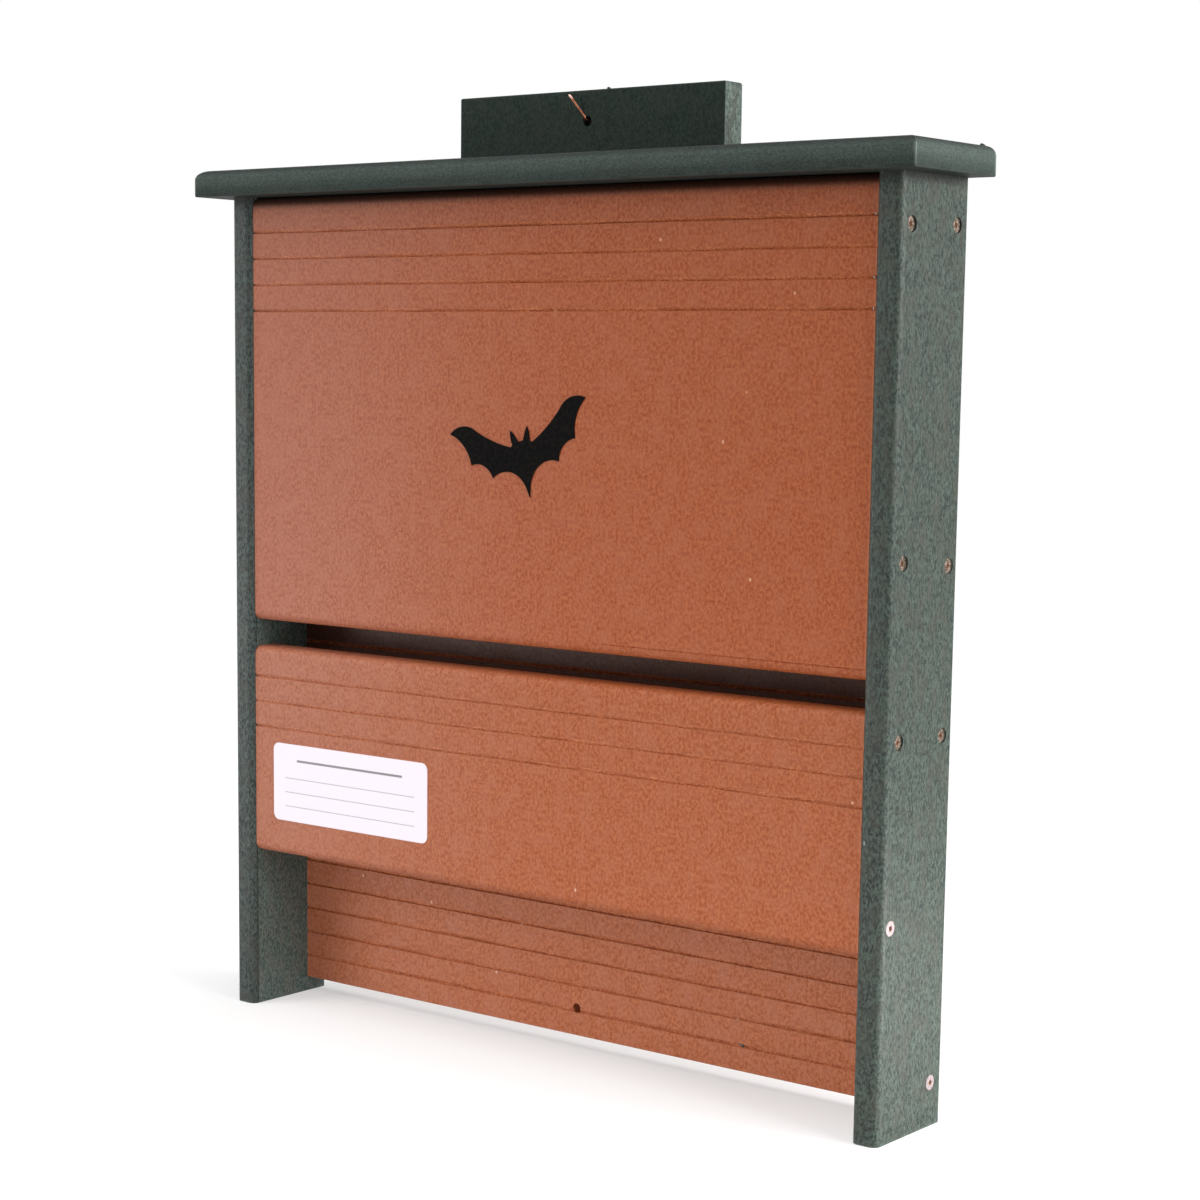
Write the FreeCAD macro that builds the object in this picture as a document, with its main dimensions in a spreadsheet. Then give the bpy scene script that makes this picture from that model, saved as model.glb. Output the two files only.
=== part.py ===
import FreeCAD, Part
import math
import os
import re
import Sketcher

# Bat box of half inch recycled plastic boards, screwed together.
# X runs along the front, Y from the front to the wall, Z up.
# The origin is on the base, under the middle of the whole box.

SIZES = {
    # boards of the box
    "board_thickness": 12.7,
    "box_width": 381.0,
    "side_depth": 50.8,
    "side_height": 400.0,
    "front_inset": 2.3,
    "vent_bottom": 182.0,
    "vent_height": 13.0,
    "lower_front_height": 103.0,
    "back_lift": 7.2,
    "edge_round": 3.5,
    "edge_break": 0.8,
    # roof and hanger board
    "roof_overhang": 12.5,
    "roof_front_overhang": 12.0,
    "roof_round": 4.5,
    "hanger_width": 152.0,
    "hanger_height": 31.8,
    "hanging_hole_radius": 2.4,
    "hanging_hole_drop": 13.8,
    # scored grooves that the bats grip
    "groove_pitch": 12.5,
    "groove_width": 1.8,
    "groove_depth": 0.9,
    "upper_groove_drop": 16.6,
    "upper_groove_count": 4,
    "lower_groove_drop": 14.7,
    "lower_groove_count": 3,
    "back_groove_lift": 12.0,
    "back_groove_margin": 5.0,
    # lower fixing hole in the back board
    "fixing_hole_radius": 2.3,
    "fixing_hole_lift": 13.3,
    # countersunk screws and their holes
    "screw_length": 32.0,
    "screw_radius": 1.75,
    "screw_tip": 4.0,
    "tip_radius": 0.4,
    "head_radius": 3.4,
    "head_recess": 1.2,
    "recess_clearance": 0.2,
    "shank_clearance": 0.05,
    "pilot_spare": 1.0,
    "top_row_drop": 20.5,
    "upper_row_lift": 47.0,
    "middle_row_drop": 12.5,
    "lower_row_lift": 14.0,
    "foot_row_lift": 12.4,
    "roof_screw_front": 33.0,
    "roof_screw_back": 15.0,
    "hanger_screw_inset": 26.0,
    # label and emblem on the front boards
    "label_width": 102.0,
    "label_height": 38.5,
    "label_round": 3.5,
    "label_thickness": 0.3,
    "label_margin": 12.8,
    "label_lift": 17.4,
    "emblem_span": 81.0,
    "emblem_thickness": 0.4,
    "emblem_tilt": 13.0,
    "emblem_left": 6.0,
    "emblem_lift": 86.8,
}

doc = FreeCAD.newDocument("bat_box")
sheet = doc.addObject("Spreadsheet::Sheet", "sizes")
for row, (alias, number) in enumerate(SIZES.items(), start=1):
    sheet.set(f"A{row}", alias)
    sheet.set(f"B{row}", str(number))
    sheet.setAlias(f"B{row}", alias)
doc.recompute()

# Lengths that several pieces share, in the words of the sheet
INNER_WIDTH = "(box_width - 2 * board_thickness)"
UPPER_HEIGHT = "(side_height - vent_bottom - vent_height)"
BACK_HEIGHT = "(side_height - back_lift)"
ROOF_WIDTH = "(box_width + 2 * roof_overhang)"
ROOF_DEPTH = "(side_depth + roof_front_overhang)"
HALF_BOARD = "(board_thickness / 2)"
SHANK_HOLE = "(screw_radius + shank_clearance)"
HEAD_HOLE = "(head_radius + recess_clearance)"
PILOT_DEPTH = "(screw_length + head_recess - board_thickness + pilot_spare)"

# Planes of the box, measured from its origin
SIDE_FRONT = f"({ROOF_DEPTH} / 2 - side_depth)"
FRONT_FACE = f"({SIDE_FRONT} + front_inset)"
BACK_FACE = f"({ROOF_DEPTH} / 2 - board_thickness)"
LEFT_OUTER = "(-box_width / 2)"
RIGHT_OUTER = "(box_width / 2)"
LEFT_INNER = "(board_thickness - box_width / 2)"
RIGHT_INNER = "(box_width / 2 - board_thickness)"
LOWER_BOTTOM = "(vent_bottom - lower_front_height)"
VENT_TOP = "(vent_bottom + vent_height)"
ROOF_TOP = "(side_height + board_thickness)"

# Heights of the rows of screws above the base
TOP_ROW = "(side_height - top_row_drop)"
UPPER_ROW = "(vent_bottom + vent_height + upper_row_lift)"
MIDDLE_ROW = "(vent_bottom - middle_row_drop)"
LOWER_ROW = "(vent_bottom - lower_front_height + lower_row_lift)"
FOOT_ROW = "(back_lift + foot_row_lift)"
UPPER_FRONT_ROWS = [TOP_ROW, UPPER_ROW]
LOWER_FRONT_ROWS = [MIDDLE_ROW, LOWER_ROW]
BACK_ROWS = [TOP_ROW, UPPER_ROW, MIDDLE_ROW, FOOT_ROW]

# Right half of the emblem for an 80 mm span: end of each stroke, and how far the stroke
# bows to its left as a share of its length. It runs from the crown to the tail.
EMBLEM_CROWN = (0.0, 5.8)
EMBLEM_STROKES = [
    (1.6, 6.1, 0.0),
    (4.9, 11.6, 0.05),
    (5.0, 5.2, 0.08),
    (6.6, 4.4, -0.12),
    (25.0, 15.4, -0.04),
    (40.0, 17.0, 0.19),
    (30.6, 1.0, -0.13),
    (19.4, -7.0, -0.20),
    (1.2, -14.8, -0.24),
    (0.0, -19.6, 0.0),
]
EMBLEM_DRAWN_SPAN = 80.0


def tied(words):
    """Expression on the sheet for words such as box_width / 2."""
    return re.sub(r"\b[a-z]\w*\b(?!\()", lambda found: "sizes." + found.group(), words)


def bind(item, prop, words):
    item.setExpression(prop, tied(words))


def place(item, x, y, z):
    for axis, words in zip("xyz", (x, y, z)):
        bind(item, f"Placement.Base.{axis}", words)


def new_sketch(body, name, role, offset=None):
    """Sketch on one of the body's own planes, or a bound distance along its normal."""
    sketch = body.newObject("Sketcher::SketchObject", name)
    plane = next(item for item in body.Origin.OriginFeatures if item.Role == role)
    sketch.AttachmentSupport = (plane, [""])
    sketch.MapMode = "FlatFace"
    if offset:
        bind(sketch, "AttachmentOffset.Base.z", offset)
    return sketch


def pin_point(sketch, curve, vertex, u, v):
    """Hold one point of a sketch curve at bound distances from the sketch origin."""
    for kind, words, axis in (("DistanceX", u, -2), ("DistanceY", v, -1)):
        if words == "0":
            sketch.addConstraint(Sketcher.Constraint("PointOnObject", curve, vertex, axis))
        else:
            index = sketch.addConstraint(Sketcher.Constraint(kind, -1, 1, curve, vertex, 10.0))
            bind(sketch, f"Constraints[{index}]", words)


def draw_outline(sketch, corners):
    """Closed outline of straight lines through bound corners."""
    turns = [2 * math.pi * step / len(corners) for step in range(len(corners))]
    rough = [FreeCAD.Vector(20 + 10 * math.cos(turn), 20 + 10 * math.sin(turn), 0) for turn in turns]
    for index, point in enumerate(rough):
        sketch.addGeometry(Part.LineSegment(rough[index - 1], point))
    for index, (u, v) in enumerate(corners):
        following = (index + 1) % len(corners)
        sketch.addConstraint(Sketcher.Constraint("Coincident", index, 2, following, 1))
        pin_point(sketch, index, 2, u, v)


def extrude(body, kind, name, profile, length):
    """Pad or pocket of a sketch over a bound length."""
    feature = body.newObject("PartDesign::" + kind, name)
    feature.Profile = profile
    bind(feature, "Length", length)
    return feature


def new_board(name, width, depth, height, corner):
    """Board whose lower left front corner is its own origin, put in place by that corner."""
    body = doc.addObject("PartDesign::Body", name)
    body.Label = name
    base = new_sketch(body, name + "_base", "XY_Plane")
    draw_outline(base, [("0", "0"), (width, "0"), (width, depth), ("0", depth)])
    extrude(body, "Pad", name + "_pad", base, height)
    place(body, *corner)
    doc.recompute()
    return body


def check_cut(body, before, name):
    doc.recompute()
    if body.Shape.isNull() or body.Shape.Volume > before - 0.01:
        raise RuntimeError(name + " cut nothing")


def drill(body, name, role, centres, radius, depth, offset=None, backwards=False):
    """Round holes with bound centres, cut against the plane's normal or along it."""
    before = body.Shape.Volume
    sketch = new_sketch(body, name + "_centres", role, offset)
    for u, v in centres:
        rough = Part.Circle(FreeCAD.Vector(10, 10, 0), FreeCAD.Vector(0, 0, 1), 1)
        circle = sketch.addGeometry(rough)
        index = sketch.addConstraint(Sketcher.Constraint("Radius", circle, 1.0))
        bind(sketch, f"Constraints[{index}]", radius)
        pin_point(sketch, circle, 3, u, v)
    pocket = extrude(body, "Pocket", name, sketch, depth)
    pocket.Reversed = backwards
    check_cut(body, before, name)


def score(body, name, lowest, count):
    """Row of V grooves along a board's front, from the lowest one up."""
    before = body.Shape.Volume
    sketch = new_sketch(body, name + "_profile", "YZ_Plane")
    draw_outline(sketch, [("0", f"{lowest} - groove_width / 2"),
                          ("groove_depth", lowest),
                          ("0", f"{lowest} + groove_width / 2")])
    pocket = body.newObject("PartDesign::Pocket", name + "_first")
    pocket.Profile = sketch
    pocket.Type = "ThroughAll"
    pocket.Reversed = True
    check_cut(body, before, name)
    rows = body.newObject("PartDesign::LinearPattern", name)
    rows.Originals = [pocket]
    rows.Direction = (sketch, ["V_Axis"])
    rows.Mode = "Spacing"
    bind(rows, "Offset", "groove_pitch")
    bind(rows, "Occurrences", count)
    body.Tip = rows
    doc.recompute()


def soften(body, name, size, *pairs):
    """Round the edges where the named sides of a board's box meet, such as YMin and ZMax."""
    tip = body.Tip
    box = tip.Shape.BoundBox
    edges = []
    for number, edge in enumerate(tip.Shape.Edges, start=1):
        ends = [vertex.Point for vertex in edge.Vertexes]
        for pair in pairs:
            offsets = [abs(getattr(end, side[0].lower()) - getattr(box, side))
                       for side in pair for end in ends]
            if len(ends) == 2 and max(offsets) < 0.01:
                edges.append(f"Edge{number}")
    fillet = body.newObject("PartDesign::Fillet", name)
    fillet.Base = (tip, edges)
    bind(fillet, "Radius", size)
    doc.recompute()


def seat_screws(body, name, role, centres, axis, offset=None, backwards=False):
    """Recess, shank hole and countersink for each screw that goes in through this board."""
    drill(body, name + "_recesses", role, centres, HEAD_HOLE, "head_recess", offset, backwards)
    drill(body, name + "_holes", role, centres, SHANK_HOLE, "board_thickness", offset, backwards)
    recess = sheet.head_recess
    floor = recess if backwards else sheet.board_thickness - recess
    radius = sheet.screw_radius + sheet.shank_clearance
    tip = body.Tip
    rims = []
    for number, edge in enumerate(tip.Shape.Edges, start=1):
        if isinstance(edge.Curve, Part.Circle) and abs(edge.Curve.Radius - radius) < 0.001:
            if abs(getattr(edge.Curve.Center, axis) - floor) < 0.001:
                rims.append(f"Edge{number}")
    sink = body.newObject("PartDesign::Chamfer", name + "_countersinks")
    sink.Base = (tip, rims)
    bind(sink, "Size", f"head_radius - {SHANK_HOLE}")
    doc.recompute()


def end_pilots(body, name, rows, bottom):
    """Pilot holes for the side screws in both ends of a board whose lower edge is at bottom."""
    centres = [(HALF_BOARD, f"{row} - {bottom}") for row in rows]
    drill(body, name + "_left_pilots", "YZ_Plane", centres, SHANK_HOLE, PILOT_DEPTH, backwards=True)
    drill(body, name + "_right_pilots", "YZ_Plane", centres, SHANK_HOLE, PILOT_DEPTH, offset=INNER_WIDTH)


# Side boards, with the roof screws' pilot holes in their tops
front_column = f"front_inset + {HALF_BOARD}"
back_column = f"side_depth - {HALF_BOARD}"
side_centres = [(front_column, row) for row in UPPER_FRONT_ROWS + LOWER_FRONT_ROWS]
side_centres += [(back_column, row) for row in BACK_ROWS]
roof_pilots = [(HALF_BOARD, f"side_depth - {back}") for back in ("roof_screw_front", "roof_screw_back")]
for name, outer, screw_plane in (("side_left", LEFT_OUTER, None),
                                 ("side_right", RIGHT_INNER, "board_thickness")):
    side = new_board(name, "board_thickness", "side_depth", "side_height", (outer, SIDE_FRONT, "0"))
    soften(side, name + "_front_edges", "edge_round", ("YMin", "XMin"), ("YMin", "XMax"))
    soften(side, name + "_back_edges", "edge_break", ("YMax", "XMin"), ("YMax", "XMax"))
    seat_screws(side, name + "_screw", "YZ_Plane", side_centres, "x", screw_plane, screw_plane is None)
    drill(side, name + "_roof_pilots", "XY_Plane", roof_pilots, SHANK_HOLE, PILOT_DEPTH, "side_height")

# Back board, scored from top to bottom on the side that the bats cling to
back_corner = (LEFT_INNER, BACK_FACE, "back_lift")
back = new_board("back_board", INNER_WIDTH, "board_thickness", BACK_HEIGHT, back_corner)
soften(back, "back_board_edges", "edge_break", ("YMin", "ZMin"), ("YMax", "ZMin"))
score(back, "back_board_grooves", "back_groove_lift",
      f"floor(({BACK_HEIGHT} - back_groove_lift - back_groove_margin) / groove_pitch) + 1")
end_pilots(back, "back_board", BACK_ROWS, "back_lift")
drill(back, "back_board_fixing_hole", "XZ_Plane", [(f"{INNER_WIDTH} / 2", "fixing_hole_lift")],
      "fixing_hole_radius", "board_thickness")

# Two front boards with the vent slot between them
for name, height, bottom, rows, groove_drop, groove_count in (
        ("front_upper", UPPER_HEIGHT, VENT_TOP, UPPER_FRONT_ROWS, "upper_groove_drop", "upper_groove_count"),
        ("front_lower", "lower_front_height", LOWER_BOTTOM, LOWER_FRONT_ROWS, "lower_groove_drop",
         "lower_groove_count")):
    front = new_board(name, INNER_WIDTH, "board_thickness", height, (LEFT_INNER, FRONT_FACE, bottom))
    soften(front, name + "_front_edges", "edge_round", ("YMin", "ZMin"), ("YMin", "ZMax"))
    soften(front, name + "_back_edges", "edge_break", ("YMax", "ZMin"), ("YMax", "ZMax"))
    lowest = f"({height} - {groove_drop} - ({groove_count} - 1) * groove_pitch)"
    score(front, name + "_grooves", lowest, groove_count)
    end_pilots(front, name, rows, bottom)

# Roof, rounded over on its front and both ends, with screws down into the sides
# and up into the hanger board
roof_corner = (f"-{ROOF_WIDTH} / 2", f"-{ROOF_DEPTH} / 2", "side_height")
roof = new_board("roof", ROOF_WIDTH, ROOF_DEPTH, "board_thickness", roof_corner)
soften(roof, "roof_round_over", "roof_round", ("YMin", "ZMax"), ("XMin", "ZMax"), ("XMax", "ZMax"))
soften(roof, "roof_lower_edges", "edge_break", ("YMin", "ZMin"), ("XMin", "ZMin"), ("XMax", "ZMin"))
above_sides = [f"roof_overhang + {HALF_BOARD}", f"{ROOF_WIDTH} - roof_overhang - {HALF_BOARD}"]
roof_centres = [(across, f"{ROOF_DEPTH} - {back}")
                for across in above_sides for back in ("roof_screw_front", "roof_screw_back")]
below_hanger = f"{ROOF_DEPTH} - {HALF_BOARD}"
hanger_centres = [(f"({ROOF_WIDTH} - hanger_width) / 2 + hanger_screw_inset", below_hanger),
                  (f"({ROOF_WIDTH} + hanger_width) / 2 - hanger_screw_inset", below_hanger)]
seat_screws(roof, "roof_screw", "XY_Plane", roof_centres, "z", "board_thickness")
seat_screws(roof, "roof_hanger_screw", "XY_Plane", hanger_centres, "z", backwards=True)

# Hanger board that stands on the back of the roof
hanger = new_board("hanger_board", "hanger_width", "board_thickness", "hanger_height",
                   ("-hanger_width / 2", BACK_FACE, ROOF_TOP))
soften(hanger, "hanger_edges", "edge_break", ("YMin", "ZMax"), ("YMax", "ZMax"), ("XMin", "YMin"),
       ("XMax", "YMin"), ("XMin", "ZMax"), ("XMax", "ZMax"))
drill(hanger, "hanging_hole", "XZ_Plane", [("hanger_width / 2", "hanger_height - hanging_hole_drop")],
      "hanging_hole_radius", "board_thickness")
hanger_pilots = [("hanger_screw_inset", HALF_BOARD), ("hanger_width - hanger_screw_inset", HALF_BOARD)]
drill(hanger, "hanger_pilots", "XY_Plane", hanger_pilots, SHANK_HOLE, PILOT_DEPTH, backwards=True)

# Blank label on the lower front board
label_corner = (f"{LEFT_INNER} + label_margin", f"{FRONT_FACE} - label_thickness",
                f"{LOWER_BOTTOM} + label_lift")
label = new_board("front_label", "label_width", "label_thickness", "label_height", label_corner)
soften(label, "label_corners", "label_round", ("XMin", "ZMin"), ("XMin", "ZMax"), ("XMax", "ZMin"),
       ("XMax", "ZMax"))


def emblem_arcs(scale):
    """Strokes of the right half, then the same strokes mirrored, head to tail and back."""
    start = FreeCAD.Vector(*EMBLEM_CROWN, 0) * scale
    right = []
    for x, z, bow in EMBLEM_STROKES:
        end = FreeCAD.Vector(x, z, 0) * scale
        leftward = FreeCAD.Vector(start.y - end.y, end.x - start.x, 0)
        right.append((start, (start + end) / 2 + leftward * bow, end))
        start = end
    left = [[FreeCAD.Vector(-point.x, point.y, 0) for point in reversed(stroke)]
            for stroke in reversed(right)]
    for first, middle, last in right + left:
        straight = middle.distanceToLine(first, last - first) < 0.001
        yield Part.LineSegment(first, last) if straight else Part.Arc(first, middle, last)


# Flat emblem of a flying bat on the upper front board
emblem = doc.addObject("PartDesign::Body", "bat_emblem")
emblem.Label = "bat_emblem"
silhouette = new_sketch(emblem, "emblem_silhouette", "XZ_Plane")
for curve in emblem_arcs(sheet.emblem_span / EMBLEM_DRAWN_SPAN):
    silhouette.addGeometry(curve)
extrude(emblem, "Pad", "emblem_pad", silhouette, "emblem_thickness")
emblem.Placement.Rotation = FreeCAD.Rotation(FreeCAD.Vector(0, -1, 0), 10)
bind(emblem, "Placement.Rotation.Angle", "emblem_tilt")
place(emblem, "-emblem_left", FRONT_FACE, f"{VENT_TOP} + emblem_lift")

# Wood screws, drawn from the head down to the tip along Z
HEAD_HEIGHT = "(head_radius - screw_radius)"
SHANK_LENGTH = f"(screw_length - {HEAD_HEIGHT} - screw_tip)"


def new_screw(name, turn, point):
    head = doc.addObject("Part::Cone", name + "_head")
    bind(head, "Radius1", "head_radius")
    bind(head, "Radius2", "screw_radius")
    bind(head, "Height", HEAD_HEIGHT)
    shank = doc.addObject("Part::Cylinder", name + "_shank")
    bind(shank, "Radius", "screw_radius")
    bind(shank, "Height", SHANK_LENGTH)
    bind(shank, "Placement.Base.z", HEAD_HEIGHT)
    tip = doc.addObject("Part::Cone", name + "_tip")
    bind(tip, "Radius1", "screw_radius")
    bind(tip, "Radius2", "tip_radius")
    bind(tip, "Height", "screw_tip")
    bind(tip, "Placement.Base.z", "screw_length - screw_tip")
    screw = doc.addObject("Part::MultiFuse", name)
    screw.Shapes = [head, shank, tip]
    screw.Placement.Rotation = turn
    place(screw, *point)
    return screw


def group_screws(name, screws):
    group = doc.addObject("Part::Compound", name)
    group.Label = name
    group.Links = screws
    return group


RIGHTWARD = FreeCAD.Rotation(FreeCAD.Vector(0, 1, 0), 90)
LEFTWARD = FreeCAD.Rotation(FreeCAD.Vector(0, 1, 0), -90)
UPWARD = FreeCAD.Rotation()
DOWNWARD = FreeCAD.Rotation(FreeCAD.Vector(1, 0, 0), 180)


def side_screws(name, column, rows):
    """Screws through both sides into the ends of one board."""
    depth = f"{SIDE_FRONT} + {column}"
    screws = []
    for number, row in enumerate(rows, start=1):
        left_point = (f"{LEFT_OUTER} + head_recess", depth, row)
        right_point = (f"{RIGHT_OUTER} - head_recess", depth, row)
        screws.append(new_screw(f"{name}_left_{number}", RIGHTWARD, left_point))
        screws.append(new_screw(f"{name}_right_{number}", LEFTWARD, right_point))
    return group_screws(name, screws)


screw_groups = [
    side_screws("upper_front_screws", front_column, UPPER_FRONT_ROWS),
    side_screws("lower_front_screws", front_column, LOWER_FRONT_ROWS),
    side_screws("back_board_screws", back_column, BACK_ROWS),
]
for name, centres, head_level, turn in (
        ("roof_screw", roof_centres, f"{ROOF_TOP} - head_recess", DOWNWARD),
        ("hanger_screw", hanger_centres, "side_height + head_recess", UPWARD)):
    points = [(f"{u} - {ROOF_WIDTH} / 2", f"{v} - {ROOF_DEPTH} / 2", head_level) for u, v in centres]
    screws = [new_screw(f"{name}_{number}", turn, point) for number, point in enumerate(points, start=1)]
    screw_groups.append(group_screws(name + "s", screws))
doc.recompute()

# Nothing is written unless every object is sound
for item in doc.Objects:
    if "Invalid" in item.State or "Error" in item.State:
        raise RuntimeError(f"{item.Label} failed: {item.State}")
pieces = [item for item in doc.Objects if item.TypeId == "PartDesign::Body"] + screw_groups
for piece in pieces:
    if piece.Shape.isNull() or not piece.Shape.isValid():
        raise RuntimeError(piece.Label + " has no valid shape")
os.makedirs("parts", exist_ok=True)
for piece in pieces:
    piece.Shape.exportStep(f"parts/{piece.Label}.step")
    print(piece.Label, len(piece.Shape.Solids), "solids", round(piece.Shape.Volume), "mm3")
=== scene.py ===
import math

import bpy
from mathutils import Matrix, Vector


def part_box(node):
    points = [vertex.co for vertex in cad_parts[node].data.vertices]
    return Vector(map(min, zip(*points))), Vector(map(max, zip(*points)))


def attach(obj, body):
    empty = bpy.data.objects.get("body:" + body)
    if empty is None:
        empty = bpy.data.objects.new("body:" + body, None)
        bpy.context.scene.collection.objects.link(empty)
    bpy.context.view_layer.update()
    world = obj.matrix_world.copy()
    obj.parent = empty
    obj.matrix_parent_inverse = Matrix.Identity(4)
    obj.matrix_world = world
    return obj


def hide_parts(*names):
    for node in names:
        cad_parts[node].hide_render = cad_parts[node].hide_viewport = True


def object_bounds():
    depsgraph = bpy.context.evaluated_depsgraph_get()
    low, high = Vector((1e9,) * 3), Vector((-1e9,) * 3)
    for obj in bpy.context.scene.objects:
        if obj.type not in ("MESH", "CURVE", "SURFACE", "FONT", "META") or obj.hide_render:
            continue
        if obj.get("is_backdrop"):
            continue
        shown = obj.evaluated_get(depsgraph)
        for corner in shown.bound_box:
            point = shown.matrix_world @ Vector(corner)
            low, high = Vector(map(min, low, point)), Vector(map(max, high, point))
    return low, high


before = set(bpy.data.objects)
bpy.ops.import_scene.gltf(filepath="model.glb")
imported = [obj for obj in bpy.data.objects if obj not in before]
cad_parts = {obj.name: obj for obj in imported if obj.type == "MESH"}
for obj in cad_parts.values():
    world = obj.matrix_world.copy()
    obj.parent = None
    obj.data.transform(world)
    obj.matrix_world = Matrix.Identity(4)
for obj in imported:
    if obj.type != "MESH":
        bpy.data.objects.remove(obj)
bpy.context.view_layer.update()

# Side boards: two lengths of half inch sheet, pressed from ground plastic waste and coloured
# dark green, so that paler and darker crumbs show all over. Their front edges are routed round.
# Screws sink into them by hand, some flush and some deeper, on into the boards between them.


def step(tree, kind, inputs=None, **settings):
    """Add one node to a finish, with a plain value or a wire for each input named."""
    node = tree.nodes.new("ShaderNode" + kind)
    for name, value in settings.items():
        setattr(node, name, value)
    for name, value in (inputs or {}).items():
        if isinstance(value, bpy.types.NodeSocket):
            tree.links.new(value, node.inputs[name])
        else:
            node.inputs[name].default_value = value
    return node


def sum_of(tree, operation, *values):
    """The result of one sum on values or wires."""
    return step(tree, "Math", dict(enumerate(values)), operation=operation).outputs[0]


def soft_step(tree, value, start, stop):
    """0 up to start, 1 from stop on, and a soft change between them."""
    return step(tree, "MapRange", {"Value": value, "From Min": start, "From Max": stop},
                interpolation_type="SMOOTHSTEP").outputs[0]


def ramp(tree, value, start, stop, first, last):
    """first up to start, last from stop on, and an even change between them."""
    return step(tree, "MapRange", {"Value": value, "From Min": start, "From Max": stop,
                                   "To Min": first, "To Max": last}).outputs[0]


def cloudy(tree, place, scale, detail, roughness=0.5):
    """An uneven value over the surface, mostly between 0.3 and 0.7."""
    return step(tree, "TexNoise", {"Vector": place, "Scale": scale, "Detail": detail,
                                   "Roughness": roughness}).outputs["Fac"]


def blend(tree, share, first, second):
    """The first colour where share is 0, and the second where it is 1. 6 and 7 are the colour sockets."""
    return step(tree, "Mix", {0: share, 6: first, 7: second}, data_type="RGBA").outputs[2]


def new_effect(name, inputs, outputs):
    """An empty node group with named inputs and outputs, and the sockets at its two ends."""
    effect = bpy.data.node_groups.new(name, "ShaderNodeTree")
    for way, sockets in (("INPUT", inputs), ("OUTPUT", outputs)):
        for socket, kind in sockets.items():
            effect.interface.new_socket(socket, in_out=way, socket_type="NodeSocket" + kind)
    return effect, effect.nodes.new("NodeGroupInput").outputs, effect.nodes.new("NodeGroupOutput").inputs


# Crumbs: fine grains, broad mottling where one kind of waste has gathered, and a few pale chips
crumbs, given, result = new_effect(
    "pressed_crumbs",
    {"Vector": "Vector", "Body colour": "Color", "Dark crumb": "Color", "Pale crumb": "Color",
     "Mottle colour": "Color", "Chip colour": "Color", "Crumb scale": "Float", "Mottle scale": "Float",
     "Crumbs": "Float", "Mottle": "Float", "Chips": "Float"},
    {"Color": "Color", "Roughness": "Float", "Height": "Float"})
grain = cloudy(crumbs, given["Vector"], given["Crumb scale"], 3.0, 0.7)
crumb = blend(crumbs, soft_step(crumbs, grain, 0.37, 0.63), given["Dark crumb"], given["Pale crumb"])
body = blend(crumbs, given["Crumbs"], given["Body colour"], crumb)
gathered = cloudy(crumbs, given["Vector"], given["Mottle scale"], 4.0, 0.6)
share = sum_of(crumbs, "MULTIPLY", soft_step(crumbs, gathered, 0.42, 0.64), given["Mottle"])
body = blend(crumbs, share, body, given["Mottle colour"])
chip_cells, chip_radius = 260.0, 0.16
cells = step(crumbs, "TexVoronoi", {"Vector": given["Vector"], "Scale": chip_cells})
picked = step(crumbs, "SeparateColor", {0: cells.outputs["Color"]}).outputs[0]
rare = sum_of(crumbs, "LESS_THAN", picked, given["Chips"])
small = sum_of(crumbs, "LESS_THAN", cells.outputs["Distance"], chip_radius)
body = blend(crumbs, sum_of(crumbs, "MULTIPLY", rare, small), body, given["Chip colour"])
crumbs.links.new(body, result["Color"])
crumbs.links.new(ramp(crumbs, grain, 0.3, 0.7, 0.64, 0.42), result["Roughness"])
crumbs.links.new(grain, result["Height"])

# Rubbed edges: 1 along the arrises of a board and 0 on its faces, broken up unevenly
rubbed, given, result = new_effect(
    "rubbed_edges", {"Vector": "Vector", "Middle": "Vector", "Half size": "Vector", "Width": "Float"},
    {"Mask": "Float"})
offset = step(rubbed, "VectorMath", {0: given["Vector"], 1: given["Middle"]}, operation="SUBTRACT").outputs[0]
away = step(rubbed, "VectorMath", {0: offset}, operation="ABSOLUTE").outputs[0]
inward = step(rubbed, "VectorMath", {0: given["Half size"], 1: away}, operation="SUBTRACT").outputs[0]
sides = step(rubbed, "SeparateXYZ", {0: inward}).outputs
uneven = sum_of(rubbed, "MULTIPLY", cloudy(rubbed, given["Vector"], 90.0, 3.0), 2.0)
reach = sum_of(rubbed, "MULTIPLY", given["Width"], uneven)
at_x, at_y, at_z = (ramp(rubbed, sides[axis], 0.0, reach, 1.0, 0.0) for axis in range(3))
pairs = [sum_of(rubbed, "MULTIPLY", *pair) for pair in ((at_x, at_y), (at_y, at_z), (at_x, at_z))]
arris = sum_of(rubbed, "MAXIMUM", sum_of(rubbed, "MAXIMUM", pairs[0], pairs[1]), pairs[2])
rubbed.links.new(arris, result["Mask"])

# Film: painted shade or painted sheen that lies towards one end of a board, from none at Start to Share at
# Stop
film, given, result = new_effect(
    "painted_film",
    {"Vector": "Vector", "Way": "Vector", "Start": "Float", "Stop": "Float", "Share": "Float"},
    {"Mask": "Float"})
along = step(film, "VectorMath", {0: given["Vector"], 1: given["Way"]}, operation="DOT_PRODUCT")
onset = soft_step(film, along.outputs["Value"], given["Start"], given["Stop"])
film.links.new(sum_of(film, "MULTIPLY", onset, given["Share"]), result["Mask"])


def new_finish(name):
    """An empty finish: the material, its tree, its shader and its place on the object."""
    finish = bpy.data.materials.new(name)
    finish.use_nodes = True
    tree = finish.node_tree
    return finish, tree, tree.nodes["Principled BSDF"].inputs, step(tree, "TexCoord").outputs["Object"]


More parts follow.
